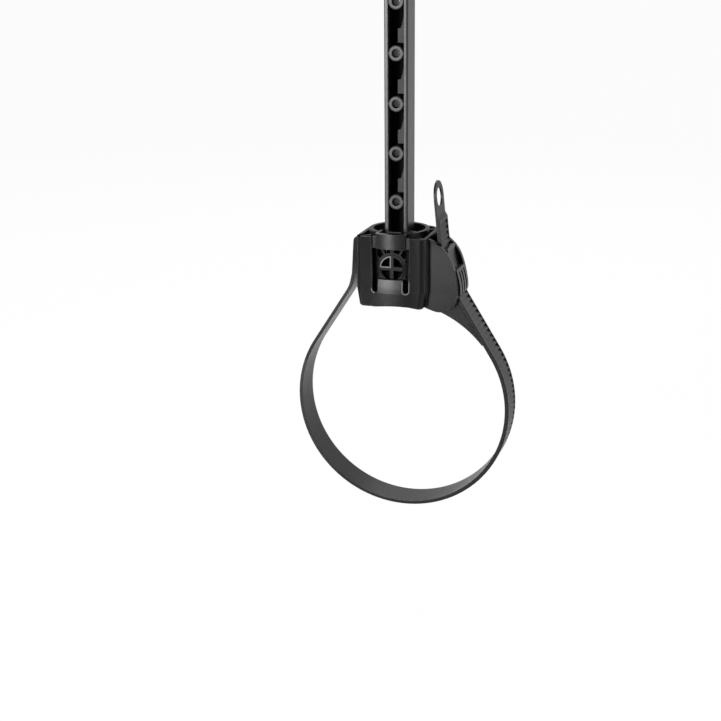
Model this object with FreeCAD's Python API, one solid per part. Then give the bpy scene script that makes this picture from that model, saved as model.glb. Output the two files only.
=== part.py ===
# Zip tie pipe hanger: a notched hanger rod, a saddle with its strap, and the collar between them.
#
# Frame: the origin is the centre of the pipe loop, in the middle plane of the strap.
# Y runs along the pipe, X runs across it, +Z points up the rod. All lengths are millimetres.

import FreeCAD, Part
import math
import os

os.makedirs("parts", exist_ok=True)

V = FreeCAD.Vector


# Driving dimensions of the loop and the strap

pipe_radius = 57.15            # nominal four inch pipe, 114.3 across
loop_clearance = 0.45          # free space between the pipe and the strap
strap_width = 17.0
strap_thickness = 2.2          # toothed run
tail_thickness = 2.0           # toothed tail above the lock
strap_root_thickness = 1.7     # plain run at the root
tab_thickness = 0.9
tab_hole_radius = 5.0
tooth_pitch = 3.05
rack_share = 0.57              # of the loop, from the lock side
tooth_depth = 1.0
tooth_ramp = 2.9               # length of the long flank
rail_width = 1.0               # plain rail each side of the teeth

# Driving dimensions of the rod

rod_offset = 3.3               # the rod stands this far left of the loop centre
rod_width = 12.6
rod_depth = 13.4
rod_flange = 2.1
rod_web = 1.8
ring_pitch = 25.4
ring_outer_radius = 3.9
ring_hole_radius = 2.1
ring_first_height = pipe_radius + 28.25
ring_count = 7
ring_rib = 1.4
rod_below_first_ring = 12.0
rod_above_last_ring = 12.7
rod_edge = 0.5
stop_reach = 3.3               # stops between the rings, on the right flange
stop_shoulder = 1.7            # where the long flank of a stop meets its top
stop_bottom = 5.3              # heights above the ring below
stop_top = 12.3
stop_flank_top = 19.0
stop_depth = 3.0
stop_set_back = 0.4            # behind the front of the rod

# Driving dimensions of the saddle body. Heights are given above the top of the pipe, and the
# body is sized from the collar that it holds.

collar_outer_radius = 16.0
body_half_width_top = collar_outer_radius + 2.8
body_half_width_waist = collar_outer_radius + 3.0
body_half_width_bottom = collar_outer_radius + 1.4
body_half_depth = collar_outer_radius + 2.0
body_top = pipe_radius + 36.85
body_waist = pipe_radius + 8.85      # height of the widest level
body_bottom = pipe_radius - 0.95
body_bottom_round = 1.4
body_wall = 1.8
body_front_bulge = 1.2
body_front_corner = body_wall + 1.2
body_back_corner = collar_outer_radius - 6.5
saddle_floor = 2.2
rib_thickness = 1.5
rib_top_drop = 0.5
notch_half_width = 10.5        # at the top
notch_half_width_low = 10.1    # at the top of the snap finger
notch_bottom = pipe_radius + 7.35
finger_half_width = 6.8
finger_top = pipe_radius + 14.45
finger_lean = 1.1              # the tip stands this far behind the front of the body
finger_thickness = 1.5
barb_reach = 1.2
barb_half_width = 4.0
barb_height = 1.6

# Driving dimensions of the lock lobe

cheek_thickness = 2.8
strap_side_clearance = 0.25
strap_face_clearance = 0.3
foot_clearance = 0.2
guide_wall = 1.6
guide_wall_top = pipe_radius + 32.35
bridge_bottom = pipe_radius + 4.15
bridge_top = pipe_radius + 19.35
bridge_groove_width = 2.0
bridge_groove_depth = 0.8
bridge_groove_pitch = 4.6
pawl_width = 15.0
pawl_thickness = 1.6
pawl_tip_thickness = 1.9
pawl_top = pipe_radius + 30.25
pawl_tip_height = 1.8
foot_heel = 8.2                # from the right wall of the body
foot_toe_angle = 7.6           # the toe ends this many degrees before the strap touches the loop
foot_wall = 1.5                # sides of the cored foot
foot_floor = 1.8               # plate over the pipe, below the core

# Driving dimensions of the collar

collar_wall = 2.1
collar_bottom = pipe_radius + 4.85
collar_top = body_top + 2.0
collar_socket_clearance = 0.15
rod_clearance = 0.3
rod_guide_wall = 1.6
panel_half_width = 8.2
pad_front_radius = collar_outer_radius + 3.2
pad_back = collar_outer_radius + 0.4    # flat back of the pad, in front of the rod axis
pad_bottom = body_top - 6.0
pad_floor = 1.2                # plate under the gap behind the pad
pad_wing_gap = 0.35            # beside the wings of the pad, inside the notch
pad_wing_front = collar_outer_radius + 0.6
pad_wing_thickness = 1.8
boss_height = pipe_radius + 19.75
boss_lip_outer = 7.3
boss_hole_radius = 6.1
boss_outer_radius = 8.5
boss_face = collar_outer_radius - 1.0   # lip and cross, in front of the rod axis
boss_step = 0.6                # ring round the lip, behind its face
boss_cross = 2.0
boss_arm = 1.1
tongue_half_width = 4.0
tongue_front = 10.4
tongue_bottom = boss_height - 2.9
tongue_tip = 1.9               # above the catch
tongue_gap = 1.5               # free space in front of the tongue
collar_guide_top = body_top - 8.0
collar_rib = 1.4
catch_half_width = 3.0
catch_reach = 3.8
catch_height = 4.0


# Values that follow from the dimensions above

loop_radius = pipe_radius + loop_clearance
half_strap = strap_width / 2.0
ring_top = ring_first_height + (ring_count - 1) * ring_pitch
rod_bottom = ring_first_height - rod_below_first_ring
rod_top = ring_top + rod_above_last_ring
catch_bottom = ring_first_height + ring_outer_radius + rod_clearance
tongue_top = catch_bottom + catch_height + tongue_tip
wall_right = body_half_width_waist - rod_offset
wall_left = -body_half_width_waist - rod_offset
beyond = 200.0                 # reach of a cutting block that passes right through
cheek_inner = half_strap + strap_side_clearance
cheek_outer = cheek_inner + cheek_thickness


# Small helpers

def box(x0, x1, y0, y1, z0, z1):
    return Part.makeBox(x1 - x0, y1 - y0, z1 - z0, V(x0, y0, z0))


def cylinder(radius, start, end):
    span = end - start
    return Part.makeCylinder(radius, span.Length, start, span)


def xz(point):
    return V(point[0], 0, point[1])


def slab(edges, y0, y1):
    """Solid from closed edges drawn in the XZ plane, running from y0 to y1."""
    wire = Part.Wire(Part.__sortEdges__(edges))
    face = Part.Face(wire)
    face.translate(V(0, y0, 0))
    return face.extrude(V(0, y1 - y0, 0))


def polygon(points):
    ring = [xz(p) for p in points]
    return [Part.makeLine(a, b) for a, b in zip(ring, ring[1:] + ring[:1])]


def fuse_all(shapes):
    first = shapes[0]
    return first.multiFuse(shapes[1:])


def tangent_angle(point, radius):
    """Angle from +Z at which the line from a point touches the loop circle."""
    reach = math.hypot(point[0], point[1])
    return math.atan2(abs(point[0]), point[1]) + math.acos(radius / reach)


def offset(point, direction, distance):
    """Point moved sideways, to the right of a direction of travel."""
    size = math.hypot(direction[0], direction[1])
    return (point[0] + direction[1] / size * distance, point[1] - direction[0] / size * distance)


def lock_point(out, rise):
    """Point on the lock's side: out from the body's right wall, up from the top of the pipe."""
    return (wall_right + out, pipe_radius + rise)


def root_point(out, rise):
    """Point on the root's side: out from the body's left wall, up from the top of the pipe."""
    return (wall_left - out, pipe_radius + rise)


# Path of the strap in the XZ plane

# The strap leaves the saddle's left wall, runs round the pipe and comes back up through
# the lock lobe. These are the points of its inner face.
root_inner_top = root_point(3.6, 14.05)
root_inner_bend = root_point(4.3, 10.85)
root_inner_middle = root_point(5.3, 7.15)
root_inner_line = root_point(7.0, 3.75)
lobe_entry = lock_point(15.2, 2.25)
lobe_middle = lock_point(7.6, 19.15)
lobe_exit = lock_point(3.75, 37.35)
tail_direction = (-0.1, 0.995)
tab_start = pipe_radius + 44.85
tab_step = 2.2
tab_centre = tab_start + 11.6
tab_end_radius = half_strap

left_angle = tangent_angle(root_inner_line, loop_radius)
right_angle = tangent_angle(lobe_entry, loop_radius)


def on_circle(radius, angle):
    return (radius * math.sin(angle), radius * math.cos(angle))


def tail_point(height):
    step = (height - lobe_exit[1]) / tail_direction[1]
    return (lobe_exit[0] + tail_direction[0] * step, height)


def curve_points(a, middle, b, count):
    """Evenly spaced points of the circular arc through three points."""
    arc = Part.Arc(xz(a), xz(middle), xz(b))
    out = []
    for i in range(count + 1):
        t = arc.FirstParameter + (arc.LastParameter - arc.FirstParameter) * i / count
        p = arc.value(t)
        out.append((p.x, p.z))
    return out


# Inner face of the toothed run, from the tail down through the lobe and round the loop

left_touch = on_circle(loop_radius, -left_angle)
right_touch = on_circle(loop_radius, right_angle)
line_direction = (right_touch[0] - lobe_entry[0], right_touch[1] - lobe_entry[1])
root_direction = (left_touch[0] - root_inner_line[0], left_touch[1] - root_inner_line[1])

right_touch_outer = on_circle(loop_radius + strap_thickness, right_angle)
entry_outer = offset(lobe_entry, line_direction, -strap_thickness)
middle_outer = offset(lobe_middle, (-0.310, 0.951), (strap_thickness + tail_thickness) / 2.0)
exit_outer = offset(lobe_exit, tail_direction, tail_thickness)
left_touch_outer = on_circle(loop_radius + strap_root_thickness, -left_angle)
root_line_outer = offset(root_inner_line, root_direction, strap_root_thickness)
root_middle_outer = offset(root_inner_middle, (-0.379, -0.926), strap_root_thickness)
root_bend_outer = offset(root_inner_bend, (-0.2, -0.979), strap_root_thickness)
root_top_outer = (root_inner_top[0] - strap_root_thickness, root_inner_top[1])
loop_bottom_outer = (0.0, -(loop_radius + (strap_thickness + strap_root_thickness) / 2.0))


def tail_outer(height, thickness):
    return offset(tail_point(height), tail_direction, thickness)


def make_strap():
    """The strap as one bent band, with its rack of teeth and the pull tab."""
    tip = tab_centre + tab_end_radius
    edges = []
    # inner face, from the tip of the tab to the root
    edges.append(Part.makeLine(xz(tail_point(tip)), xz(lobe_exit)))
    edges.append(Part.Arc(xz(lobe_exit), xz(lobe_middle), xz(lobe_entry)).toShape())
    edges.append(Part.makeLine(xz(lobe_entry), xz(right_touch)))
    edges.append(Part.Arc(xz(right_touch), V(0, 0, -loop_radius), xz(left_touch)).toShape())
    edges.append(Part.makeLine(xz(left_touch), xz(root_inner_line)))
    edges.append(Part.Arc(xz(root_inner_line), xz(root_inner_middle), xz(root_inner_bend)).toShape())
    edges.append(Part.makeLine(xz(root_inner_bend), xz(root_inner_top)))
    # across the root and back along the outer face
    edges.append(Part.makeLine(xz(root_inner_top), xz(root_top_outer)))
    edges.append(Part.makeLine(xz(root_top_outer), xz(root_bend_outer)))
    edges.append(Part.Arc(xz(root_bend_outer), xz(root_middle_outer), xz(root_line_outer)).toShape())
    edges.append(Part.makeLine(xz(root_line_outer), xz(left_touch_outer)))
    edges.append(Part.Arc(xz(left_touch_outer), xz(loop_bottom_outer), xz(right_touch_outer)).toShape())
    edges.append(Part.makeLine(xz(right_touch_outer), xz(entry_outer)))
    edges.append(Part.Arc(xz(entry_outer), xz(middle_outer), xz(exit_outer)).toShape())
    step_foot = tail_outer(tab_start, tail_thickness)
    step_head = tail_outer(tab_start + tab_step, tab_thickness)
    edges.append(Part.makeLine(xz(exit_outer), xz(step_foot)))
    edges.append(Part.makeLine(xz(step_foot), xz(step_head)))
    edges.append(Part.makeLine(xz(step_head), xz(tail_outer(tip, tab_thickness))))
    edges.append(Part.makeLine(xz(tail_outer(tip, tab_thickness)), xz(tail_point(tip))))
    band = slab(edges, -half_strap, half_strap)

    # the tab ends in a half circle about its own hole
    middle = tail_point(tab_centre)[0]
    crown = box(middle - 8, middle + 8, -half_strap - 1, half_strap + 1, tab_centre, tip + 2)
    crown = crown.cut(cylinder(tab_end_radius, V(middle - 9, 0, tab_centre), V(middle + 9, 0, tab_centre)))
    hole = cylinder(tab_hole_radius, V(middle - 9, 0, tab_centre), V(middle + 9, 0, tab_centre))
    return band.cut(crown.fuse(hole)).cut(make_rack())


def rack_path():
    """Outer face of the toothed run as a fine chain of points, from the tail downwards."""
    chain = [tail_outer(tab_start - 1.0, tail_thickness)]
    chain += curve_points(exit_outer, middle_outer, entry_outer, 24)
    chain.append(right_touch_outer)
    arc = Part.Arc(xz(right_touch_outer), xz(loop_bottom_outer), xz(left_touch_outer))
    steps = 50
    for i in range(1, steps + 1):
        p = arc.value(arc.FirstParameter + (arc.LastParameter - arc.FirstParameter) * rack_share * i / steps)
        chain.append((p.x, p.z))
    return chain


def make_rack():
    """Row of sawtooth notches sunk between the two rails of the strap."""
    chain = rack_path()
    lengths = [0.0]
    for a, b in zip(chain, chain[1:]):
        lengths.append(lengths[-1] + math.hypot(b[0] - a[0], b[1] - a[1]))

    def at(distance, height):
        i = 0
        while i < len(chain) - 2 and lengths[i + 1] < distance:
            i += 1
        a = chain[i]
        b = chain[i + 1]
        t = (distance - lengths[i]) / (lengths[i + 1] - lengths[i])
        p = (a[0] + (b[0] - a[0]) * t, a[1] + (b[1] - a[1]) * t)
        return offset(p, (b[0] - a[0], b[1] - a[1]), -height)

    count = int((lengths[-1] - 1.0) / tooth_pitch)
    width = strap_width - 2.0 * rail_width
    rise = 0.4 * (tooth_ramp - 0.2) / tooth_depth
    notches = []
    for i in range(count):
        s = 0.5 + i * tooth_pitch
        corners = [at(s - 0.07, 0.4), at(s + 0.2, -tooth_depth), at(s + tooth_ramp + rise, 0.4)]
        notches.append(slab(polygon(corners), -width / 2.0, width / 2.0))
    return Part.makeCompound(notches)


# Saddle body

def plan_wire(half_width, half_depth, front_corner, back_corner, bulge, height):
    """Outline of the body seen from above: bowed front, round corners."""
    n = notch_half_width
    c = math.sqrt(0.5)
    left = -half_width
    right = half_width
    front = -half_depth
    back = half_depth
    f = front_corner
    b = back_corner

    def p(x, y):
        return V(x - rod_offset, y, height)

    def corner(x, y, r, sx, sy, first, last):
        return Part.Arc(first, p(x + sx * r * c, y + sy * r * c), last).toShape()

    edges = [
        Part.Arc(p(-n, front), p(0, front - bulge), p(n, front)).toShape(),
        Part.makeLine(p(n, front), p(right - f, front)),
        corner(right - f, front + f, f, 1, -1, p(right - f, front), p(right, front + f)),
        Part.makeLine(p(right, front + f), p(right, back - b)),
        corner(right - b, back - b, b, 1, 1, p(right, back - b), p(right - b, back)),
        Part.makeLine(p(right - b, back), p(left + b, back)),
        corner(left + b, back - b, b, -1, 1, p(left + b, back), p(left, back - b)),
        Part.makeLine(p(left, back - b), p(left, front + f)),
        corner(left + f, front + f, f, -1, -1, p(left, front + f), p(left + f, front)),
        Part.makeLine(p(left + f, front), p(-n, front)),
    ]
    return Part.Wire(edges)


def body_block(inset, bottom, top):
    """Block of the body, drawn in by an inset on every side; it narrows below its waist."""
    def half_width(z):
        if z >= body_waist:
            share = (z - body_waist) / (body_top - body_waist)
            return body_half_width_waist + (body_half_width_top - body_half_width_waist) * share - inset
        share = (z - body_bottom) / (body_waist - body_bottom)
        return body_half_width_bottom + (body_half_width_waist - body_half_width_bottom) * share - inset

    def level(z):
        return plan_wire(half_width(z), body_half_depth - inset, body_front_corner - inset,
                         body_back_corner - inset, body_front_bulge, z)

    low = Part.makeLoft([level(bottom), level(body_waist)], True, True)
    high = Part.makeLoft([level(body_waist), level(top)], True, True)
    return low.fuse(high)


def loop_cylinder(radius):
    return cylinder(radius, V(0, -40, 0), V(0, 40, 0))


def cheek_edges():
    """Side profile of the lock lobe, closed along the body wall."""
    outline = [(-1.3, 36.35), (1.5, 35.25), (4.2, 33.65), (6.9, 31.65), (9.7, 28.75), (12.1, 24.85),
               (13.8, 20.25), (15.1, 15.25), (15.9, 8.85), (15.7, 4.65), (14.5, 1.35), (11.9, -1.25),
               (8.7, -2.65), (5.7, -3.05), (2.3, -2.45), (-2.3, -0.85)]
    outline = [lock_point(out, rise) for out, rise in outline]
    curve = Part.BSplineCurve()
    curve.interpolate([xz(p) for p in outline])
    return [curve.toShape(), Part.makeLine(xz(outline[-1]), xz(outline[0]))]


def lobe_strip(near, far_side, bottom, top, half):
    """Curved plate beside the strap inside the lobe, between two distances from its inner face."""
    inner = curve_points(lobe_entry, lobe_middle, lobe_exit, 14)
    left = []
    right = []
    for i, p in enumerate(inner):
        a = inner[max(i - 1, 0)]
        b = inner[min(i + 1, len(inner) - 1)]
        direction = (b[0] - a[0], b[1] - a[1])
        left.append(offset(p, direction, near))
        right.append(offset(p, direction, far_side))
    strip = slab(polygon(left + right[::-1]), -half, half)
    return strip.common(box(-beyond, beyond, -half, half, bottom, top))


def make_foot():
    """Wedge under the strap, cored from above; it rests on the pipe and thins out to its toe."""
    heel_angle = math.asin((wall_right + foot_heel) / loop_radius)
    toe_angle = right_angle - math.radians(foot_toe_angle)
    heel = on_circle(loop_radius, heel_angle)
    middle = on_circle(loop_radius, (heel_angle + toe_angle) / 2.0)
    toe_low = on_circle(loop_radius, toe_angle)
    toe_high = on_circle((loop_radius - foot_clearance) / math.cos(right_angle - toe_angle), toe_angle)
    start = offset(lobe_entry, line_direction, foot_clearance)
    wall = wall_right - body_wall
    top = [heel, (wall, heel[1] + 3.0), (wall, start[1] + 3.0), (wall_right + 8.3, start[1] + 1.8),
           start, toe_high, toe_low]
    edges = [Part.makeLine(xz(p), xz(q)) for p, q in zip(top, top[1:])]
    edges.append(Part.Arc(xz(toe_low), xz(middle), xz(heel)).toShape())
    foot = slab(edges, -half_strap, half_strap)
    pocket = [lock_point(-1.1, -7.0), lock_point(-1.1, 12.85), lock_point(11.5, 12.85),
              lock_point(12.7, 4.45), lock_point(12.7, -7.0)]
    core = slab(polygon(pocket), -half_strap + foot_wall, half_strap - foot_wall)
    core = core.cut(loop_cylinder(loop_radius + foot_floor))
    web = [lock_point(-body_wall, 0.35), lock_point(-body_wall, 29.35), lock_point(5.6, 29.35),
           lock_point(10.3, 12.85), lock_point(14.1, 3.85), lock_point(12.3, -1.15)]
    rib = slab(polygon(web), -rib_thickness / 2.0, rib_thickness / 2.0)
    strap_room = lobe_strip(-strap_face_clearance, 12.0, -beyond, beyond, half_strap)
    rib = rib.cut(strap_room).cut(loop_cylinder(loop_radius))
    return [foot.cut(core), rib]


def make_bridge():
    """Ribbed bridge over the strap, with the pawl that leans on the teeth."""
    y = cheek_inner
    low = strap_thickness + strap_face_clearance
    outer_face = [(wall_right + 14.6, bridge_top), lock_point(15.9, 14.85), lock_point(16.8, 9.35),
                  lock_point(16.5, 5.85), (wall_right + 15.3, bridge_bottom)]
    curve = Part.BSplineCurve()
    curve.interpolate([xz(p) for p in outer_face])
    ends = [(wall_right + 8.3, bridge_bottom), (wall_right + 8.3, bridge_top)]
    corners = [outer_face[-1]] + ends + [outer_face[0]]
    edges = [curve.toShape()] + [Part.makeLine(xz(a), xz(b)) for a, b in zip(corners, corners[1:])]
    bridge = slab(edges, -y, y)
    room = slab(polygon([lobe_entry, offset(lobe_entry, line_direction, -low),
                         (entry_outer[0] + 9.0, entry_outer[1] - 13.0), lock_point(4.3, -17.0)]),
                -beyond, beyond)
    bridge = bridge.cut(lobe_strip(-8.0, low, -beyond, beyond, beyond)).cut(room)
    d = bridge_groove_depth
    h = bridge_groove_width / 2.0
    floor = [(wall_right + 14.6 - d, bridge_top - 1.2), lock_point(15.9 - d, 14.85),
             lock_point(16.8 - d, 9.35), (wall_right + 16.3 - d, bridge_bottom + 2.0)]
    for k in (-1, 0, 1):
        c = k * bridge_groove_pitch
        outside = [(beyond, bridge_bottom + 2.0), (beyond, bridge_top - 1.2)]
        groove = slab(polygon(floor + outside), c - h, c + h)
        bridge = bridge.cut(groove)
    half = pawl_width / 2.0
    arm = lobe_strip(low, low + pawl_thickness, bridge_top - 1.0, pawl_top, half)
    tip = lobe_strip(low, low + pawl_tip_thickness, pawl_top - pawl_tip_height, pawl_top, half)
    return [bridge, arm, tip]


def make_lobe():
    """Two cheeks, the guide wall behind the strap, the bridge with its pawl, and the foot."""
    pieces = []
    for low, high in ((-cheek_outer, -cheek_inner), (cheek_inner, cheek_outer)):
        pieces.append(slab(cheek_edges(), low, high))
    near = -strap_face_clearance - guide_wall
    pieces.append(lobe_strip(near, -strap_face_clearance, 0, guide_wall_top, cheek_inner))
    return pieces + make_bridge() + make_foot()


def make_root():
    """Block on the left wall from which the strap grows."""
    outer = [root_inner_top, root_top_outer, root_point(5.05, 17.85), root_point(4.2, 32.25),
             root_point(3.9, 33.35), root_point(3.1, 34.15), root_point(0.3, 35.75),
             root_point(-1.0, 36.05), (wall_left + 1.0, root_inner_top[1] - 1.6)]
    edges = [Part.makeLine(xz(a), xz(b)) for a, b in zip(outer, outer[1:])]
    inner_bend = (wall_left - 1.6, root_inner_top[1] - 0.1)
    edges.append(Part.Arc(xz(outer[-1]), xz(inner_bend), xz(outer[0])).toShape())
    return slab(edges, -half_strap, half_strap)


def make_shell():
    """Outer skin of the body with its round lower edge."""
    outer = body_block(0.0, body_bottom, body_top)
    rim = [e for e in outer.Edges if abs(e.BoundBox.ZMax - body_bottom) < 0.01]
    rounded = outer.makeFillet(body_bottom_round, rim)
    return rounded if rounded.isValid() else outer


def make_notch():
    """Front opening of the body: it narrows downwards and ends in two round slots."""
    cx = -rod_offset
    n = notch_half_width
    m = notch_half_width_low
    f = finger_half_width
    r = (m - f) / 2.0
    sides = [(cx - n, body_top + 5), (cx - n, body_top), (cx - m, finger_top), (cx - m, notch_bottom + r),
             (cx + m, notch_bottom + r), (cx + m, finger_top), (cx + n, body_top), (cx + n, body_top + 5)]
    inside = -body_half_depth + 5.5
    notch = slab(polygon(sides), -beyond, inside)
    notch = notch.cut(box(cx - f, cx + f, -beyond - 1, inside + 1, 0, finger_top))
    for side in (-1, 1):
        c = cx + side * (m + f) / 2.0
        z = notch_bottom + r
        notch = notch.fuse(cylinder(r, V(c, -beyond, z), V(c, inside, z)))
    return notch


def make_finger():
    """Snap finger: it follows the bowed front and leans inwards towards its tip."""
    cx = -rod_offset
    f = finger_half_width
    middle = -body_half_depth - body_front_bulge
    side = middle + body_front_bulge * (f / notch_half_width) ** 2

    def level(z, lean):
        t = finger_thickness
        front = Part.Arc(V(cx - f, side + lean, z), V(cx, middle + lean, z),
                         V(cx + f, side + lean, z)).toShape()
        back = Part.Arc(V(cx + f, side + lean + t, z), V(cx, middle + lean + t, z),
                        V(cx - f, side + lean + t, z)).toShape()
        ends = [Part.makeLine(V(cx + f, side + lean, z), V(cx + f, side + lean + t, z)),
                Part.makeLine(V(cx - f, side + lean + t, z), V(cx - f, side + lean, z))]
        return Part.Wire([front, ends[0], back, ends[1]])

    middle_height = (notch_bottom + finger_top) / 2.0
    finger = Part.makeLoft([level(notch_bottom - 1.2, 0.04), level(notch_bottom + 0.4, 0.05),
                            level(middle_height, 0.35), level(finger_top, finger_lean)], True, False)
    inner = middle + finger_lean + finger_thickness
    b = barb_half_width
    barb = box(cx - b, cx + b, inner - 0.6, inner + barb_reach, finger_top - barb_height, finger_top)
    return [finger, barb]


def make_saddle():
    """Thin walled body with its ribs, notch and snap finger, the lobe and the strap."""
    cx = -rod_offset
    cavity = body_block(body_wall, body_bottom + saddle_floor, body_top + 0.001)
    cavity = cavity.cut(loop_cylinder(loop_radius + saddle_floor))
    socket_radius = collar_outer_radius + collar_socket_clearance
    socket = cylinder(socket_radius, V(cx, 0, collar_bottom), V(cx, 0, body_top + 1))
    core = cylinder(0.75 * collar_outer_radius, V(cx, 0, 0), V(cx, 0, collar_bottom))

    # radial ribs that carry the collar
    ribs = []
    for angle in (0, 38, 90, 142, 180, 218, 322):
        rib = box(8.0, 2.5 * collar_outer_radius, -rib_thickness / 2.0, rib_thickness / 2.0,
                  body_bottom, body_top - rib_top_drop)
        rib.rotate(V(0, 0, 0), V(0, 0, 1), angle)
        rib.translate(V(cx, 0, 0))
        ribs.append(rib)
    ribs = fuse_all(ribs).cut(socket).cut(core)
    body = make_shell().cut(cavity.cut(ribs))
    body = body.cut(make_notch())

    # snap finger between the two slots
    f = finger_half_width
    body = body.cut(box(cx - f, cx + f, -beyond, -body_half_depth + 5.5, notch_bottom, finger_top + 1))
    body = body.multiFuse(make_finger())

    body = body.multiFuse(make_lobe() + [make_root()])
    body = body.cut(loop_cylinder(loop_radius))
    body = body.fuse(make_strap())
    return body.removeSplitter()


# Collar

def boss_web(front, back):
    """Openwork of the collar front: the round boss, its lip, its cross and its arms."""
    cx = -rod_offset
    centre = V(cx, 0, boss_height)
    shift = V(0, 1, 0)

    def tube(inner, outer, y0, y1):
        ring = cylinder(outer, centre + shift * y0, centre + shift * y1)
        return ring.cut(cylinder(inner, centre + shift * (y0 - 1), centre + shift * (y1 + 1)))

    h = boss_cross / 2.0
    r = (boss_hole_radius + boss_lip_outer) / 2.0
    reach = 1.25 * collar_outer_radius
    lip = tube(boss_hole_radius, boss_lip_outer, -boss_face, back)
    cross = [box(cx - h, cx + h, -boss_face, back, boss_height - r, boss_height + r),
             box(cx - r, cx + r, -boss_face, back, boss_height - h, boss_height + h)]
    step = -boss_face + boss_step
    ring = tube(boss_hole_radius, boss_outer_radius, step, back)
    arms = [box(cx - h, cx + h, step, back, collar_bottom, boss_height - r),
            box(cx - h, cx + h, step, back, boss_height + r, collar_top + 4),
            box(cx - reach, cx - r, step, back, boss_height - h, boss_height + h),
            box(cx + r, cx + reach, step, back, boss_height - h, boss_height + h)]
    for angle in (35, 61, 119, 145, 215, 241, 299, 325):
        arm = box(boss_lip_outer, reach, step, back, -boss_arm / 2.0, boss_arm / 2.0)
        arm.rotate(V(0, 0, 0), V(0, 1, 0), -angle)
        arm.translate(V(cx, 0, boss_height))
        arms.append(arm)
    return fuse_all([lip, ring] + cross + arms)


def make_collar():
    """Round sleeve that holds the rod, with the cored boss in front and the spring tongue behind it."""
    cx = -rod_offset
    z0 = collar_bottom
    z1 = collar_top
    base = V(cx, 0, z0)
    top = V(cx, 0, z1)
    full = cylinder(collar_outer_radius, base, top)
    bore = cylinder(collar_outer_radius - collar_wall, base - V(0, 0, 1), top + V(0, 0, 1))

    gx = rod_width / 2.0 + rod_clearance
    gy = rod_depth / 2.0 + rod_clearance
    w = rod_guide_wall
    guide = box(cx - gx - w, cx + gx + w, -gy - w, gy + w, z0, collar_guide_top)
    front = box(cx - panel_half_width, cx + panel_half_width, -collar_outer_radius, -gy - w, z0, z1)
    front = front.common(full)
    pieces = [full.cut(bore), guide, front]
    reach = collar_outer_radius - 0.5
    for angle, height in ((0, collar_guide_top), (90, collar_guide_top), (180, collar_guide_top),
                          (40, collar_guide_top), (140, collar_guide_top), (327, z1 - 0.4)):
        rib = box(8.0, reach, -collar_rib / 2.0, collar_rib / 2.0, z0, height)
        rib.rotate(V(0, 0, 0), V(0, 0, 1), angle)
        rib.translate(V(cx, 0, 0))
        pieces.append(rib)
    collar = fuse_all(pieces)

    # pad that fills the top of the notch
    pad = cylinder(pad_front_radius, V(cx, 0, pad_bottom), top)
    pad = pad.common(box(cx - panel_half_width, cx + panel_half_width, -beyond, -collar_outer_radius + 2.0,
                         pad_bottom, z1))
    share = (pad_bottom - finger_top) / (body_top - finger_top)
    room = notch_half_width_low + (notch_half_width - notch_half_width_low) * share
    reach = room - pad_wing_gap
    wings = box(cx - reach, cx + reach, -pad_wing_front, -pad_wing_front + pad_wing_thickness,
                pad_bottom, body_top)
    collar = collar.multiFuse([pad, wings])

    # passage of the rod, and the free space round the spring tongue
    floor = pad_bottom + pad_floor
    collar = collar.cut(box(cx - gx, cx + gx, -gy, gy, z0 - 1, z1 + 1))
    collar = collar.cut(box(cx - gx, cx + gx, -pad_back, -gy + 1, floor, z1 + 1))
    collar = collar.cut(box(cx - gx, cx + gx, -tongue_front - tongue_gap, -gy + 1, tongue_bottom, floor + 1))
    field = box(cx - panel_half_width, cx + panel_half_width, -collar_outer_radius - 1,
                -tongue_front - tongue_gap + 0.5, boss_height - 7.9, pad_bottom)
    web = boss_web(-collar_outer_radius, -tongue_front - tongue_gap + 1.0)
    collar = collar.cut(field.cut(web))

    # spring tongue with the catch that rests on a ring of the rod
    t = tongue_half_width
    tongue = box(cx - t, cx + t, -tongue_front, -gy - 0.3, tongue_bottom - 2, tongue_top)
    c = catch_half_width
    catch = box(cx - c, cx + c, -gy - 0.5, -gy + catch_reach, catch_bottom, catch_bottom + catch_height)
    collar = collar.multiFuse([tongue, catch])

    # seat of the barb on the snap finger
    inner = -body_half_depth - body_front_bulge + finger_lean + finger_thickness
    b = barb_half_width + 0.3
    seat = box(cx - b, cx + b, -collar_outer_radius - 2, inner + barb_reach + 0.2,
               finger_top - barb_height - 0.2, finger_top + 0.3)
    collar = collar.cut(seat)
    return collar.removeSplitter()


# Hanger rod

def make_stop(ring_height):
    """Stop on the right flange, between the ring at this height and the next one."""
    wall = -rod_offset + rod_width / 2.0 - rod_flange

    def point(reach, rise):
        return V(wall - reach, 0, ring_height + rise)

    shoulder = point(stop_shoulder, stop_top + 0.3)
    bend = point(0.42 * stop_shoulder, (stop_top + 0.3 + stop_flank_top) / 2.0)
    foot = point(0.0, stop_flank_top)
    corners = [foot, point(-0.5, stop_flank_top), point(-0.5, stop_bottom), point(stop_reach, stop_bottom),
               point(stop_reach, stop_top), shoulder]
    edges = [Part.makeLine(a, b) for a, b in zip(corners, corners[1:])]
    edges.append(Part.Arc(shoulder, bend, foot).toShape())
    front = -rod_depth / 2.0 + stop_set_back
    face = Part.Face(Part.Wire(edges))
    face.translate(V(0, front, 0))
    return face.extrude(V(0, stop_depth, 0))


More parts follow.
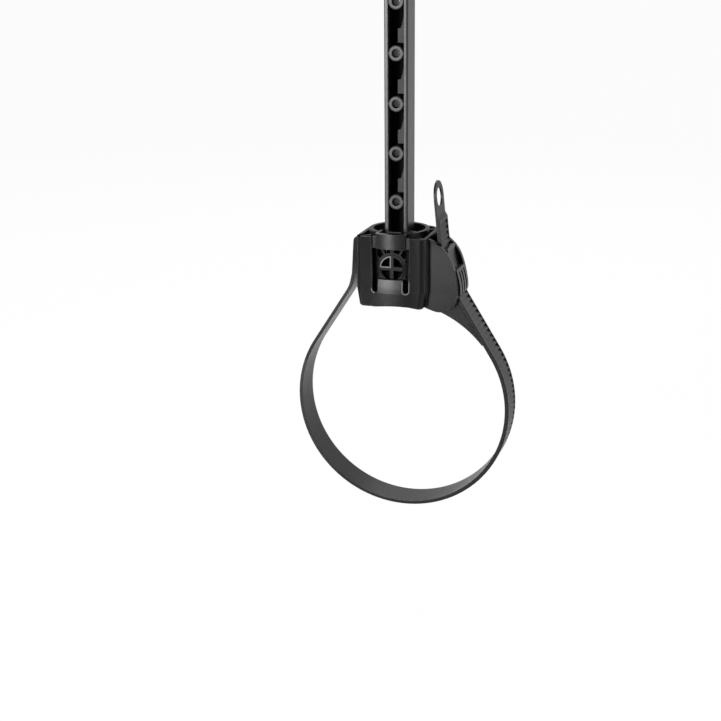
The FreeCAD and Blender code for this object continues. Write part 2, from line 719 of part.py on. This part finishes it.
def make_rod():
    """Channel with a row of tube rings, each tied to both flanges by a small rib."""
    cx = -rod_offset
    hx = rod_width / 2.0
    hy = rod_depth / 2.0
    block = box(cx - hx, cx + hx, -hy, hy, rod_bottom, rod_top)
    corners = [e for e in block.Edges if abs(e.Length - (rod_top - rod_bottom)) < 0.01]
    block = block.makeFillet(rod_edge, corners)
    channel = box(cx - hx + rod_flange, cx + hx - rod_flange, -hy - 1, hy - rod_web,
                  rod_bottom - 1, rod_top + 1)
    body = block.cut(channel)
    tubes = []
    holes = []
    for k in range(ring_count):
        z = ring_first_height + k * ring_pitch
        tubes.append(cylinder(ring_outer_radius, V(cx, -hy, z), V(cx, hy - 0.5, z)))
        rib_low = z - ring_rib / 2.0
        tubes.append(box(cx - hx + 0.5, cx + hx - 0.5, -hy + 0.4, hy - 0.5, rib_low, rib_low + ring_rib))
        holes.append(cylinder(ring_hole_radius, V(cx, -hy - 1, z), V(cx, hy + 1, z)))
    stops = [make_stop(ring_first_height + k * ring_pitch) for k in range(1, ring_count - 1)]
    body = body.multiFuse(tubes + stops)
    body = body.cut(Part.makeCompound(holes))
    return body.removeSplitter()


# Write the three pieces

made = (("hanger_rod", make_rod()), ("rod_collar", make_collar()), ("strap_saddle", make_saddle()))
for name, shape in made:
    box_size = shape.BoundBox
    print(name, "valid", shape.isValid(), "solids", len(shape.Solids), "volume", round(shape.Volume, 1),
          "size", round(box_size.XLength, 1), round(box_size.YLength, 1), round(box_size.ZLength, 1))
    shape.exportStep("parts/" + name + ".step")
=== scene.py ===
# %% [markdown]
# # A zip tie pipe hanger
#
# The hanger is fixed under a joist and holds what its strap is drawn round. It is three mouldings
# in black plastic: a channel rod with a row of nail rings, a saddle whose strap makes a loop and
# comes back through a lock, and a round collar that joins the two. The shapes come exact from the
# construction, so they are loaded as a fixed frame. This lesson gives them surfaces, light and a
# camera.

# %% Load the frame
import math

import bpy
import numpy as np
from mathutils import Matrix, Vector


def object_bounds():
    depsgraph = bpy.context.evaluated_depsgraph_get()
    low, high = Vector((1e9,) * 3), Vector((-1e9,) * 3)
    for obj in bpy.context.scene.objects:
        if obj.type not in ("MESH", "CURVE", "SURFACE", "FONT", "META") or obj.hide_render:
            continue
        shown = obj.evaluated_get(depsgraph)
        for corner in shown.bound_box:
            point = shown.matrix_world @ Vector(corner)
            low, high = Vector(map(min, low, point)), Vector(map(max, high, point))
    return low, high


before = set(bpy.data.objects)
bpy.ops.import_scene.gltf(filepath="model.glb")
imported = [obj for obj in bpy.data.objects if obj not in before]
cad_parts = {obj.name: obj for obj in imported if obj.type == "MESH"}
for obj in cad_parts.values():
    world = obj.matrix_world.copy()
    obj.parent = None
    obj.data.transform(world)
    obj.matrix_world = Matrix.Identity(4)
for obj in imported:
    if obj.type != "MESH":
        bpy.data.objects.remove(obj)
cad_low, cad_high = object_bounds()
MM = 0.001

print("nodes:", sorted(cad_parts))
print("size in mm:", [round((b - a) / MM, 1) for a, b in zip(cad_low, cad_high)])

# %% [markdown]
# ## Shader maths that reads like maths
#
# A material is a small graph. Wiring it by hand, one link at a time, hides the formula behind it.
# The class below wraps an output socket and lets Python's own operators add the Math nodes, so
# that a mask can be written as `1 - edge * 0.5`. Two ramps, `above` and `below`, are all that a
# mask needs to say where something starts and where it ends.


# %% The socket wrapper
class Signal:
    """An output socket that can be used in an expression; each operator adds one Math node."""

    def __init__(self, finish, socket):
        self.finish = finish
        self.socket = socket

    def _math(self, operation, first, second):
        return self.finish.node("ShaderNodeMath", {"operation": operation}, {0: first, 1: second})

    def __add__(self, other):
        return self._math("ADD", self, other)

    def __sub__(self, other):
        return self._math("SUBTRACT", self, other)

    def __rsub__(self, other):
        return self._math("SUBTRACT", other, self)

    def __mul__(self, other):
        return self._math("MULTIPLY", self, other)

    def __truediv__(self, other):
        return self._math("DIVIDE", self, other)

    def size(self):
        """The value without its sign."""
        return self._math("ABSOLUTE", self, 0.0)

    def root(self):
        """The square root."""
        return self._math("POWER", self, 0.5)

    def folded(self, half_period):
        """The value folded to and fro between 0 and half a period."""
        return self._math("PINGPONG", self, half_period)

    def between(self, low, high):
        """0 below low, 1 above high and an even ramp between."""
        return self.finish.node("ShaderNodeMapRange", {"clamp": True}, {0: self, 1: low, 2: high})

    def above(self, start, soft):
        """0 up to the start, and 1 once the value is past it by soft."""
        return self.between(start, start + soft)

    def below(self, end, soft):
        """1 up to the end, and 0 once the value is past it by soft."""
        return 1 - self.between(end, end + soft)


def distance(across, along):
    """Distance from the place where both are 0: the root of the sum of the squares."""
    return (across * across + along * along).root()


# %% [markdown]
# Every node comes from one method. It sets the node's options first, because options can change
# which sockets a node has, and then gives each named socket a value or a link.


# %% The finish
class Finish:
    """A material, or a world, under construction."""

    def __init__(self, name, shelf=None):
        self.material = (bpy.data.materials if shelf is None else shelf).new(name)
        self.material.use_nodes = True
        self.tree = self.material.node_tree
        self.tree.nodes.clear()

    def node(self, kind, settings=None, inputs=None, output=0):
        """One node: its settings first, then a value or a link for each named socket."""
        made = self.tree.nodes.new(kind)
        for name, value in (settings or {}).items():
            setattr(made, name, value)
        for name, value in (inputs or {}).items():
            if isinstance(value, Signal):
                self.tree.links.new(value.socket, made.inputs[name])
            else:
                made.inputs[name].default_value = value
        return Signal(self, made.outputs[output]) if made.outputs else None

    def place(self):
        """The place on the object as three signals, in metres."""
        spot = self.node("ShaderNodeTexCoord", output=3)
        return [self.node("ShaderNodeSeparateXYZ", {}, {"Vector": spot}, output=i) for i in range(3)]

    def noise(self, size, detail, roughness=0.5, stretch=(1, 1, 1)):
        """Noise from 0 to 1 whose blobs are about one size across, in metres."""
        spot = self.node("ShaderNodeTexCoord", output=3)
        spot = self.node("ShaderNodeMapping", {}, {"Vector": spot, "Scale": stretch})
        return self.node("ShaderNodeTexNoise", {"noise_dimensions": "3D"}, {
            "Vector": spot, "Scale": 1.0 / size, "Detail": detail, "Roughness": roughness})

    def blend(self, share, first, second):
        """Colour between two colours, by a share from 0 to 1."""
        return self.node("ShaderNodeMix", {"data_type": "RGBA", "clamp_factor": True},
                         {0: share, 6: first, 7: second}, output=2)

    def close(self, shader, output="ShaderNodeOutputMaterial"):
        """Ends the graph with this shader, and returns the material."""
        self.node(output, {}, {"Surface": shader})
        print("finish", self.material.name, "has", len(self.tree.nodes), "nodes")
        return self.material


# %% [markdown]
# Colours are easier to compare with a picture as screen greys than as linear light, so one function
# turns the first into the second.


# %% Screen greys
def grey(level):
    """Linear colour of a screen grey from 0 to 255, by the usual screen curve."""
    c = level / 255.0
    linear = c / 12.92 if c <= 0.04045 else ((c + 0.055) / 1.055) ** 2.4
    return (linear, linear, linear * 1.02, 1.0)


print("screen grey 38 in linear light:", round(grey(38)[0], 4))

# %% [markdown]
# ## Black moulded plastic
#
# The mouldings are black polypropylene. The tool that shaped them was spark-eroded, which leaves a
# fine even grain that spreads a highlight. On top of that come slow waves where the plastic shrank
# over the ribs, paler flow marks, and rims that are a little glossier and painted paler, as a
# painted highlight. A flat black would lose all this. The rounded rims could be real geometry, but a
# Bevel node gives each edge the small radius of a moulding without touching the exact solids, and
# the turn of its normal also finds the rims for the painted highlight.

# %% A finish for each moulding
ROD_OFFSET = 3.3
# Grey of the painted highlights.
HIGHLIGHT_GREY = 120
PLASTIC_IOR = 1.49
WAVE_SIZE, FLOW_SIZE, GRAIN_SIZE = 9 * MM, 3.5 * MM, 0.35 * MM
WAVE_RANGE, FLOW_RANGE, EDGE_RANGE = (0.35, 0.7), (0.55, 0.8), (0.01, 0.25)
PALE_WAVE, PALE_FLOW, FLOW_SHARE, EDGE_HIGHLIGHT_SHARE = 1.18, 1.4, 0.5, 0.8
FLOW_ROUGH, GRAIN_ROUGH, EDGE_POLISH = 0.10, 0.08, 0.06
FLOW_HEIGHT, RELIEF = 0.3, 0.35
# Painted shade: share and darkness of the shade painted on faces, the extra roughness there, and the
# grey of the dark matt shader.
SUNK_SHARE, SUNK_SHADE, SUNK_ROUGH, DEEP_SHADE = 0.8, 0.5, 0.3, 0.6


def moulded_plastic(name, base, rim, roughness, gloss, rim_radius, grain, wave, **masks):
    """Grained black plastic: base and rim are screen greys, and the sizes are in millimetres.

    Each mask is a function of the place, in millimetres from the axis of the rod: crown gives a
    height that turns the light slowly; the others paint shade as a dark matt shader, paint faces
    darker as painted shade and make them rougher, and paint pale highlights. rim is the grey of the
    painted highlight on the edges.
    """
    f = Finish(name)
    x, y, z = (signal / MM for signal in f.place())
    masks = {kind: mask(x + ROD_OFFSET, y, z) for kind, mask in masks.items()}
    rounded = f.node("ShaderNodeBevel", {"samples": 8}, {"Radius": rim_radius * MM})
    true_normal = f.node("ShaderNodeNewGeometry", output=1)
    facing = f.node("ShaderNodeVectorMath", {"operation": "DOT_PRODUCT"},
                    {0: rounded, 1: true_normal}, output=1)
    edge = (1 - facing).between(*EDGE_RANGE)

    mottle = f.noise(WAVE_SIZE, detail=3.0)
    flow = f.noise(FLOW_SIZE, detail=4.0, roughness=0.6, stretch=(1, 1, 0.35))
    fine = f.noise(GRAIN_SIZE, detail=2.0)
    colour = f.blend(mottle.between(*WAVE_RANGE), grey(base), grey(base * PALE_WAVE))
    colour = f.blend(flow.between(*FLOW_RANGE) * FLOW_SHARE, colour, grey(base * PALE_FLOW))
    # The edges are painted paler, towards the rim grey: a painted highlight.
    colour = f.blend(edge * EDGE_HIGHLIGHT_SHARE, colour, grey(rim))

    even = roughness - (FLOW_ROUGH + GRAIN_ROUGH) / 2
    rough = flow * FLOW_ROUGH + fine * GRAIN_ROUGH + even - edge * EDGE_POLISH
    # Painted shade: the masked faces are painted darker, and made rougher.
    if "dull" in masks:
        colour = f.blend(masks["dull"] * SUNK_SHARE, colour, grey(base * SUNK_SHADE))
        rough = rough + masks["dull"] * SUNK_ROUGH
    # Painted highlights: the masked places are painted pale.
    if "worn" in masks:
        colour = f.blend(masks["worn"], colour, grey(HIGHLIGHT_GREY))
    height = fine * grain + mottle * wave + flow * (wave * FLOW_HEIGHT)
    if "crown" in masks:
        rounded = f.node("ShaderNodeBump", {}, {
            "Strength": 1.0, "Distance": MM, "Height": masks["crown"], "Normal": rounded})
    bump = f.node("ShaderNodeBump", {}, {
        "Strength": RELIEF, "Distance": MM, "Height": height, "Normal": rounded})
    shader = f.node("ShaderNodeBsdfPrincipled", {}, {
        "Base Color": colour, "Roughness": rough, "Normal": bump, "IOR": PLASTIC_IOR,
        "Specular IOR Level": gloss})
    # Painted shade: where the mask says, a dark matt shader takes the place of the plastic.
    if "cored" in masks:
        deep = f.node("ShaderNodeBsdfDiffuse", {}, {"Color": grey(base * DEEP_SHADE)})
        shader = f.node("ShaderNodeMixShader", {}, {0: masks["cored"], 1: shader, 2: deep})
    return f.close(shader)


# %% [markdown]
# ## Where the rod looks different
#
# On the real rod the light hardly reaches into the channel, so the mouths of the bores and the
# channel behind the stops get painted shade, a dark matt shader. The nail rings, the stops and the
# flange's right corner are painted darker, as painted shade, and made rougher, so they look duller
# than the flanges. The bores behind their mouths get a little painted light. Each such place could
# be a face with a material of its own, but then its border would be a hard line, and the finish
# would be copied for every place. A mask is better: a formula of the place, 1 where the change is
# full and 0 where there is none. The rings repeat, so one formula folds the height onto the nearest
# ring. The sizes are the construction's own, in millimetres, and x counts from the axis of the rod.
# The shares say how much of a change a place gets, and were found by comparing grey levels with the
# picture.

# %% Places on the rod
FIRST_RING, RING_PITCH = 85.4, 25.4
RING_BORE, RING_FACE, RING_RADIUS, RIB_HALF = 2.1, 3.35, 3.9, 0.7
ROD_FRONT, MOUTH_END, MOUTH_FADE, BACK_START = -6.7, -4.6, 1.6, 4.0
CHANNEL_HALF, CHANNEL_FRONT, CHANNEL_FLOOR = 4.2, -3.6, 5.2
STOP_HALF, STOP_LOW, FLANGE_CORNER = 4.0, 5.0, 5.0
MOUTH_SHARE, BORE_SHARE, LIT_SHARE, RING_SHARE, STOP_SHARE = 0.9, 0.3, 0.12, 0.3, 0.9


def ring_rise(z):
    """Height above or below the nearest ring's axis."""
    return (z - FIRST_RING).folded(RING_PITCH / 2)


def ring_bores(x, z):
    """The bores of the rings: closer to a ring's axis than its bore."""
    return distance(x, ring_rise(z)).below(RING_BORE + 0.02, 0.08)


def behind_mouth(y):
    """0 in the mouth of a bore and 1 behind it."""
    return y.above(MOUTH_END, MOUTH_FADE)


def lit_bores(x, y, z):
    """The bores behind their mouths, which catch a little light."""
    return ring_bores(x, z) * behind_mouth(y) * LIT_SHARE


def rod_depths(x, y, z):
    """The mouths of the bores, and the channel behind the stops."""
    # Painted shade: these places get the dark matt shader.
    bores = ring_bores(x, z)
    channel = x.size().below(CHANNEL_HALF, 0.1) * y.above(CHANNEL_FRONT, 1.0)
    channel = channel * y.below(CHANNEL_FLOOR, 0.6)
    bore_share = MOUTH_SHARE - behind_mouth(y) * (MOUTH_SHARE - BORE_SHARE)
    return channel * (1 - bores) + bores * bore_share


def sunk_rod(x, y, z):
    """Each ring's face a little and its round outer edge fully, the stops, and the right corner."""
    # Painted shade: these places are painted darker, and made rougher.
    rise = ring_rise(z)
    out = distance(x, rise)
    faces = out.below(RING_RADIUS + 0.02, 0.03)
    edges = faces * out.above(RING_FACE, 0.25) * rise.above(RIB_HALF + 0.1, 0.2)
    stops = y.above(ROD_FRONT + 0.1, 0.2) * x.size().below(STOP_HALF, 0.3) * rise.above(STOP_LOW, 0.2)
    corner = x.above(FLANGE_CORNER, 0.3) * y.below(ROD_FRONT + 0.2, 0.3)
    sunk = faces * RING_SHARE + edges + stops * STOP_SHARE + corner
    return sunk.between(0.0, 1.0) * y.below(BACK_START, 0.5)


print("rings of the rod every", RING_PITCH, "mm, from a height of", FIRST_RING, "mm")

# %% [markdown]
# ## Where the collar looks different
#
# The front of the collar is openwork, so that the plastic is nowhere thick. Its walls lie in the
# shade and look black: that shade is painted, as a dark matt shader, and a little of it also on the
# sleeve's upper rim. The faces behind the pad are painted darker, as painted shade, and made rougher.
# One quarter of the round boss gets a pale rim, a painted highlight where its edges catch the light.
# The rim could be drawn as a thin raised wire, but it has no height, so it is colour: a ring and two
# bars, written as distances from the boss's axis.

# %% Places on the collar
BOSS_HEIGHT, BOSS_STEP, BOSS_BORE, BOSS_CROSS, BOSS_LIP = 76.9, -14.2, 6.1, 1.0, 6.6
PAD_FRONT, PAD_BOTTOM, OPENWORK_LEFT, QUARTER_EDGE = -17.0, 88.0, -9.0, 0.3
BODY_TOP, COLLAR_TOP, SLEEVE_FRONT = 94.0, 96.0, -14.5
FACE_SHARE, WALL_SHARE, SLEEVE_SHARE = 0.35, 0.65, 0.5


def shaded_collar(x, y, z):
    """The openwork: its face a little, its walls fully; and a little the upper rim of the sleeve."""
    # Painted shade: these places get the dark matt shader.
    deep = y.above(PAD_FRONT + 0.2, 0.2) * FACE_SHARE + y.above(BOSS_STEP, 1.2) * WALL_SHARE
    openwork = z.below(PAD_BOTTOM, 0.5) * x.above(OPENWORK_LEFT, 0.4)
    sleeve_rim = z.above(COLLAR_TOP - 0.2, 0.1) * y.above(SLEEVE_FRONT, 0.5)
    return deep * openwork + sleeve_rim * SLEEVE_SHARE


def sunk_collar(x, y, z):
    """The faces of the collar that lie behind its pad, up to the top of the body."""
    # Painted shade: these faces are painted darker, and made rougher.
    return y.above(PAD_FRONT - 0.2, 0.3) * z.below(BODY_TOP - 0.1, 0.2)


def worn_core(x, y, z):
    """The pale rim round one quarter of the boss: its arc and the two arms of the cross."""
    # Painted highlight: the rim round this quarter is painted pale.
    rise = z - BOSS_HEIGHT
    out = distance(x, rise)
    quarter = x.below(-2 * QUARTER_EDGE, QUARTER_EDGE) * rise.above(QUARTER_EDGE, QUARTER_EDGE)
    quarter = quarter * y.below(BOSS_STEP - 0.3, 0.3)
    arc = out.above(BOSS_BORE - 0.1, 0.1) * out.below(BOSS_LIP, 0.3)
    arms = (x.above(-BOSS_CROSS - 0.1, 0.1) + rise.below(BOSS_CROSS, 0.1)) * out.below(BOSS_BORE, 0.2)
    return quarter * (arc + arms).between(0, 1)


print("boss of the collar at a height of", BOSS_HEIGHT, "mm, with a bore of", 2 * BOSS_BORE, "mm")

# %% [markdown]
# ## Where the saddle looks different
#
# The top edge of the body, its left corner, the block on the left wall and the strap's tail are
# painted darker and matt, as painted shade. The ends of the slots, the notch's left wall, the right
# corner and the front rail of the strap are painted paler, as painted highlights on edges that catch
# the light. In the picture the wings beside the notch stay dark, though the highlight on the finger
# runs right beside them, so they must turn away from the lamp more than the solid does.
# One view can't tell how far they fall back. So no plastic is cut away for a guess: a height that
# only turns the light darkens them, and it is kept off the strap and the cheeks.

# %% Places on the saddle
WING_START, WING_END, LEFT_WALL = 10.5, 18.6, 19.3
WING_LOW, WING_HIGH = -45.0, 20.0
LEFT_FALL, RIGHT_FALL, RIGHT_BEND = 3.92, 1.6, 0.6
SLOT_MIDDLE, SLOT_ROUND, SLOT_END, PALE_RIM, PALE_HEIGHT = 8.45, 1.65, 66.15, 0.4, 3.85
FRONT_FACES, NOTCH_WALL, WALL_FRONT, WALL_BACK = -16.0, -11.0, -17.9, -14.0
LEFT_CORNER, RIGHT_CORNER, CORNER_BACK = 16.2, 18.2, -13.0
CHEEK_FRONT, STRAP_FRONT, STRAP_RIGHT, STRAP_TOP = -11.8, -8.5, 24.0, 58.0
ROOT_START, ROOT_LOW, TAIL_LOW = 18.5, 64.0, 87.0
# Shares of the painted shade, a dark matt shader, on the saddle.
SHADED_RIM, SHADED_BLOCK, SHADED_TAIL, SHADED_CORNER = 0.45, 0.7, 0.3, 0.6
# Shares of the painted highlights on the saddle.
HIGHLIGHT_SLOTS, HIGHLIGHT_WALL, HIGHLIGHT_CORNER, HIGHLIGHT_STRAP = 0.55, 0.5, 0.14, 0.2


def shaded_saddle(x, y, z):
    """Painted shade: the body's top edge and left corner, the block on the left wall, and the strap's
    tail.
    """
    # Painted shade: these places get the dark matt shader.
    left = x * -1
    rim = z.above(BODY_TOP - 0.3, 0.2) * x.size().below(WING_END, 0.3)
    block = left.above(ROOT_START, 0.3) * z.above(ROOT_LOW, 16.0)
    tail = x.above(WING_END, 0.3) * z.above(TAIL_LOW, 4.0)
    corner = left.above(LEFT_CORNER, 0.6) * y.below(CORNER_BACK, 1.0)
    shaded = rim * SHADED_RIM + block * SHADED_BLOCK + tail * SHADED_TAIL + corner * SHADED_CORNER
    return shaded.between(0.0, 1.0)


def slot_ends(x, y, z):
    """The rim round the lower end of each slot: all of the right one, the outer half of the left.

    A slot ends in a half circle, so the distance is taken from the middle of that half circle, and
    above it from the slot's middle line.
    """
    # Painted highlight: the rim round each slot's end is painted pale.
    out = distance(x.size() - SLOT_MIDDLE, (SLOT_END - z).between(0.0, 4.0) * 4.0)
    rim = out.above(SLOT_ROUND - 0.05, 0.05) * out.below(SLOT_ROUND + PALE_RIM, 0.1)
    right_end = x.above(0.0, 0.1) * z.below(SLOT_END + PALE_HEIGHT, 2.0)
    left_end = x.below(-SLOT_MIDDLE - 0.15, 0.2) * z.below(SLOT_END + 0.15, 0.5)
    return rim * (right_end + left_end) * y.below(FRONT_FACES, 0.2)


def worn_saddle(x, y, z):
    """Paler: the slots' ends, the notch's left wall, the right corner, and the strap's front rail."""
    # Painted highlights: these places are painted pale.
    wall = x.above(NOTCH_WALL, 0.1) * x.below(NOTCH_WALL + 1.1, 0.1)
    wall = wall * y.above(WALL_FRONT, 0.2) * y.below(WALL_BACK, 2.0)
    corner = x.above(RIGHT_CORNER, 0.5) * y.below(CHEEK_FRONT - 0.1, 0.1)
    rail = y.above(STRAP_FRONT + 0.02, 0.04) * y.below(STRAP_FRONT + 0.5, 0.2)
    strap = rail * x.above(STRAP_RIGHT, 2.0) * z.below(STRAP_TOP, 4.0)
    worn = slot_ends(x, y, z) * HIGHLIGHT_SLOTS + wall * HIGHLIGHT_WALL + corner * HIGHLIGHT_CORNER
    return (worn + strap * HIGHLIGHT_STRAP).between(0.0, 1.0)


def front_wings(x, y, z):
    """Height of the wings beside the notch, in millimetres: the left one falls away evenly, the
    right one less and less. Below the body the height is brought back to 0.
    """
    left = (x * -1).between(WING_START, LEFT_WALL)
    right = x.between(WING_START, WING_END)
    fall = left * -LEFT_FALL + right * right * RIGHT_BEND - right * RIGHT_FALL
    return fall * z.between(WING_LOW, WING_HIGH)


slope = LEFT_FALL / (LEFT_WALL - WING_START)
print("the left wing turns the light by", round(math.degrees(math.atan(slope))), "degrees")

# %% [markdown]
# ## Three finishes
#
# The three mouldings come from three tools, and the picture shows it: the rod is the greyest, the
# collar is a little glossier, and the saddle is the blackest. They share one function, so the
# hanger still reads as one plastic.

# %% Put the finishes on
# rim is the screen grey of the painted highlight on each moulding's edges.
finishes = {
    "hanger_rod": moulded_plastic(
        "rod_black", base=38, rim=84, roughness=0.38, gloss=0.40, rim_radius=0.80,
        grain=0.05, wave=0.25, cored=rod_depths, dull=sunk_rod, worn=lit_bores),
    "rod_collar": moulded_plastic(
        "collar_black", base=17, rim=84, roughness=0.34, gloss=0.36, rim_radius=0.25,
        grain=0.05, wave=0.20, cored=shaded_collar, dull=sunk_collar, worn=worn_core),
    "strap_saddle": moulded_plastic(
        "saddle_black", base=12, rim=66, roughness=0.33, gloss=0.23, rim_radius=0.40,
        grain=0.06, wave=0.30, crown=front_wings, cored=shaded_saddle, worn=worn_saddle),
}
for node_name, finish in finishes.items():
    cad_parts[node_name].data.materials.clear()
    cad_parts[node_name].data.materials.append(finish)

# %% [markdown]
# ## The camera
#
# The picture was taken from the right and a little above, with a lens long enough to keep the rod
# nearly straight. The position below is what a fit to the loop and the rings of the rod gave. The
# camera's axes are built from three angles, so each can be read as a photographer would say it.

# %% Place the camera
PICTURE_SIDE = 721
SENSOR_WIDTH = 36.0
FOCAL_LENGTH = 1337.73 / PICTURE_SIDE * SENSOR_WIDTH
CAMERA_PLACE = Vector((193.98, -669.81, 248.69)) * MM
TURN, LOOK_DOWN, ROLL = (math.radians(a) for a in (-18.18, 18.01, -0.578))

level_forward = Vector((math.sin(TURN), math.cos(TURN), 0.0))
forward = level_forward * math.cos(LOOK_DOWN) - Vector((0.0, 0.0, math.sin(LOOK_DOWN)))
level_right = Vector((math.cos(TURN), -math.sin(TURN), 0.0))
level_up = level_right.cross(forward)
right = level_right * math.cos(ROLL) + level_up * math.sin(ROLL)
up = level_up * math.cos(ROLL) - level_right * math.sin(ROLL)
axes = Matrix((right, up, -forward)).transposed().to_4x4()

camera_data = bpy.data.cameras.new("picture_camera")
camera_data.lens = FOCAL_LENGTH
camera_data.sensor_width = SENSOR_WIDTH
camera_data.clip_start, camera_data.clip_end = 0.05, 20.0
camera = bpy.data.objects.new("picture_camera", camera_data)
camera.matrix_world = Matrix.Translation(CAMERA_PLACE) @ axes
bpy.context.collection.objects.link(camera)
bpy.context.scene.camera = camera
print("camera at", [round(c, 3) for c in CAMERA_PLACE], "lens", round(FOCAL_LENGTH, 1), "mm")

# %% [markdown]
# ## Light
#
# Black plastic shows its shape by what it reflects. A tall, narrow lamp stands about 20 degrees to
# the left of the front and draws the upright highlights on the pad and the snap finger. It could be
# moved until the wings light up too, but in the picture they are dark, so it stays narrow. A weaker
# lamp on the right keeps the cheeks from going flat, and one above and behind rims the top edges.


# %% Three soft lamps
def soft_lamp(name, place, aim, width, height, power):
    """A rectangular lamp, turned so that its face looks from one point to another."""
    data = bpy.data.lights.new(name, "AREA")
    data.shape = "RECTANGLE"
    data.size, data.size_y, data.energy = width, height, power
    lamp = bpy.data.objects.new(name, data)
    lamp.location = place
    lamp.rotation_euler = (Vector(aim) - Vector(place)).to_track_quat("-Z", "Y").to_euler()
    bpy.context.collection.objects.link(lamp)
    print(name, "gives", power, "W from", width, "by", height, "m")


head = Vector((0.0, 0.0, 0.09))
soft_lamp("key_lamp", (-0.376, -1.034, 0.30), head, width=0.34, height=0.8, power=22.0)
soft_lamp("side_lamp", (1.1, -0.15, 0.45), head, width=0.6, height=0.8, power=3.5)
soft_lamp("rim_lamp", (-0.2, 0.9, 1.1), head, width=0.8, height=0.5, power=10.0)

# %% [markdown]
# ## The room
#
# The room is the rest of the light. Behind the hanger it is white paper, and the camera and the
# gloss both see that. Towards the camera it is darker, as a studio is, so that the faces which look
# at the camera stay black. Matt surfaces get one even, weaker light from all round. The world is
# built with the same two methods as a finish.

# %% The room
EVEN_LIGHT = 0.35
DARK_SIDE = 0.12
DARK_END, WHITE_START = 0.1, 0.85
CAMERA_RAY, GLOSSY_RAY, CLEAR_RAY = 0, 3, 6

room = Finish("white_room", bpy.data.worlds)
direction = room.node("ShaderNodeTexCoord")
depth = room.node("ShaderNodeSeparateXYZ", {}, {"Vector": direction}, output=1)
reflected = depth.between(DARK_END, WHITE_START) * (1.0 - DARK_SIDE) + DARK_SIDE
camera_ray, glossy_ray, clear_ray = (
    room.node("ShaderNodeLightPath", output=ray) for ray in (CAMERA_RAY, GLOSSY_RAY, CLEAR_RAY))
strength = glossy_ray * (reflected - EVEN_LIGHT) + EVEN_LIGHT
strength = (camera_ray + clear_ray).between(0.0, 1.0) * (1 - strength) + strength
white = room.node("ShaderNodeBackground", {}, {"Color": (1, 1, 1, 1), "Strength": strength})
bpy.context.scene.world = room.close(white, "ShaderNodeOutputWorld")
bpy.context.scene.view_settings.view_transform = "Standard"

# %% [markdown]
# ## A floor that runs up into a wall
#
# A studio floor has no back edge: the sheet curves up behind the object. It is a profile of a flat
# run, a quarter circle and an upright, carried sideways. The camera sees it nearly white, and the
# soft shadow stays on it.


# %% The sheet
def studio_sheet(level, half_width, front, back, bend, top, steps=16):
    """Grid of two parameters: across the sheet, and along a profile of run, arc and upright.

    On the arc, along is back + bend sin(turn) and the rise is bend (1 - cos(turn)).
    """
    turn = np.linspace(0.0, math.pi / 2, steps)
    along = np.concatenate([[front], back + bend * np.sin(turn), [back + bend]])
    rise = np.concatenate([[0.0], bend * (1 - np.cos(turn)), [top]]) + level
    x, y = np.meshgrid(np.array([-half_width, half_width]), along)
    z = np.repeat(rise[:, None], 2, axis=1)
    points = np.stack([x, y, z], axis=-1).reshape(-1, 3)
    faces = np.arange(len(along) - 1)[:, None] * 2 + np.array([[0, 1, 3, 2]])
    mesh = bpy.data.meshes.new("studio_sheet")
    mesh.from_pydata(points.tolist(), [], faces.tolist())
    mesh.shade_smooth()
    made = bpy.data.objects.new("studio_sheet", mesh)
    bpy.context.collection.objects.link(made)
    return made


FLOOR_GAP = 0.05
sheet = studio_sheet(cad_low.z - FLOOR_GAP, half_width=4.0, front=-0.35, back=1.6, bend=0.8, top=4.0)
print("floor", round(FLOOR_GAP / MM), "mm under the hanger, with", len(sheet.data.polygons), "faces")

# %% [markdown]
# The sheet is matt white paper with a faint cloudiness of its fibres. To the camera it mostly
# glows, so that it comes out as white as the wall of the room. Gloss sees that glow only well
# behind the hanger, because paper close under it would light the strap from below.

# %% Paper for the sheet
PAPER_DARK, PAPER_LIGHT = (0.86, 0.86, 0.86, 1), (0.9, 0.9, 0.9, 1)
CAMERA_SHARE, GLOSS_SHARE = 0.94, 0.9
GLOW_START, GLOW_FULL = 0.25, 0.7

f = Finish("pale_paper")
fibre = f.noise(4 * MM, detail=3.0)
paper = f.node("ShaderNodeBsdfPrincipled", {}, {
    "Base Color": f.blend(fibre, PAPER_DARK, PAPER_LIGHT), "Roughness": 0.9})
glow = f.node("ShaderNodeEmission", {}, {"Color": (1, 1, 1, 1), "Strength": 1.0})
camera_ray, glossy_ray = (f.node("ShaderNodeLightPath", output=ray) for ray in (CAMERA_RAY, GLOSSY_RAY))
behind = f.place()[1].between(GLOW_START, GLOW_FULL)
seen = camera_ray * CAMERA_SHARE + glossy_ray * behind * GLOSS_SHARE
sheet.data.materials.append(f.close(f.node("ShaderNodeMixShader", {}, {0: seen, 1: paper, 2: glow})))
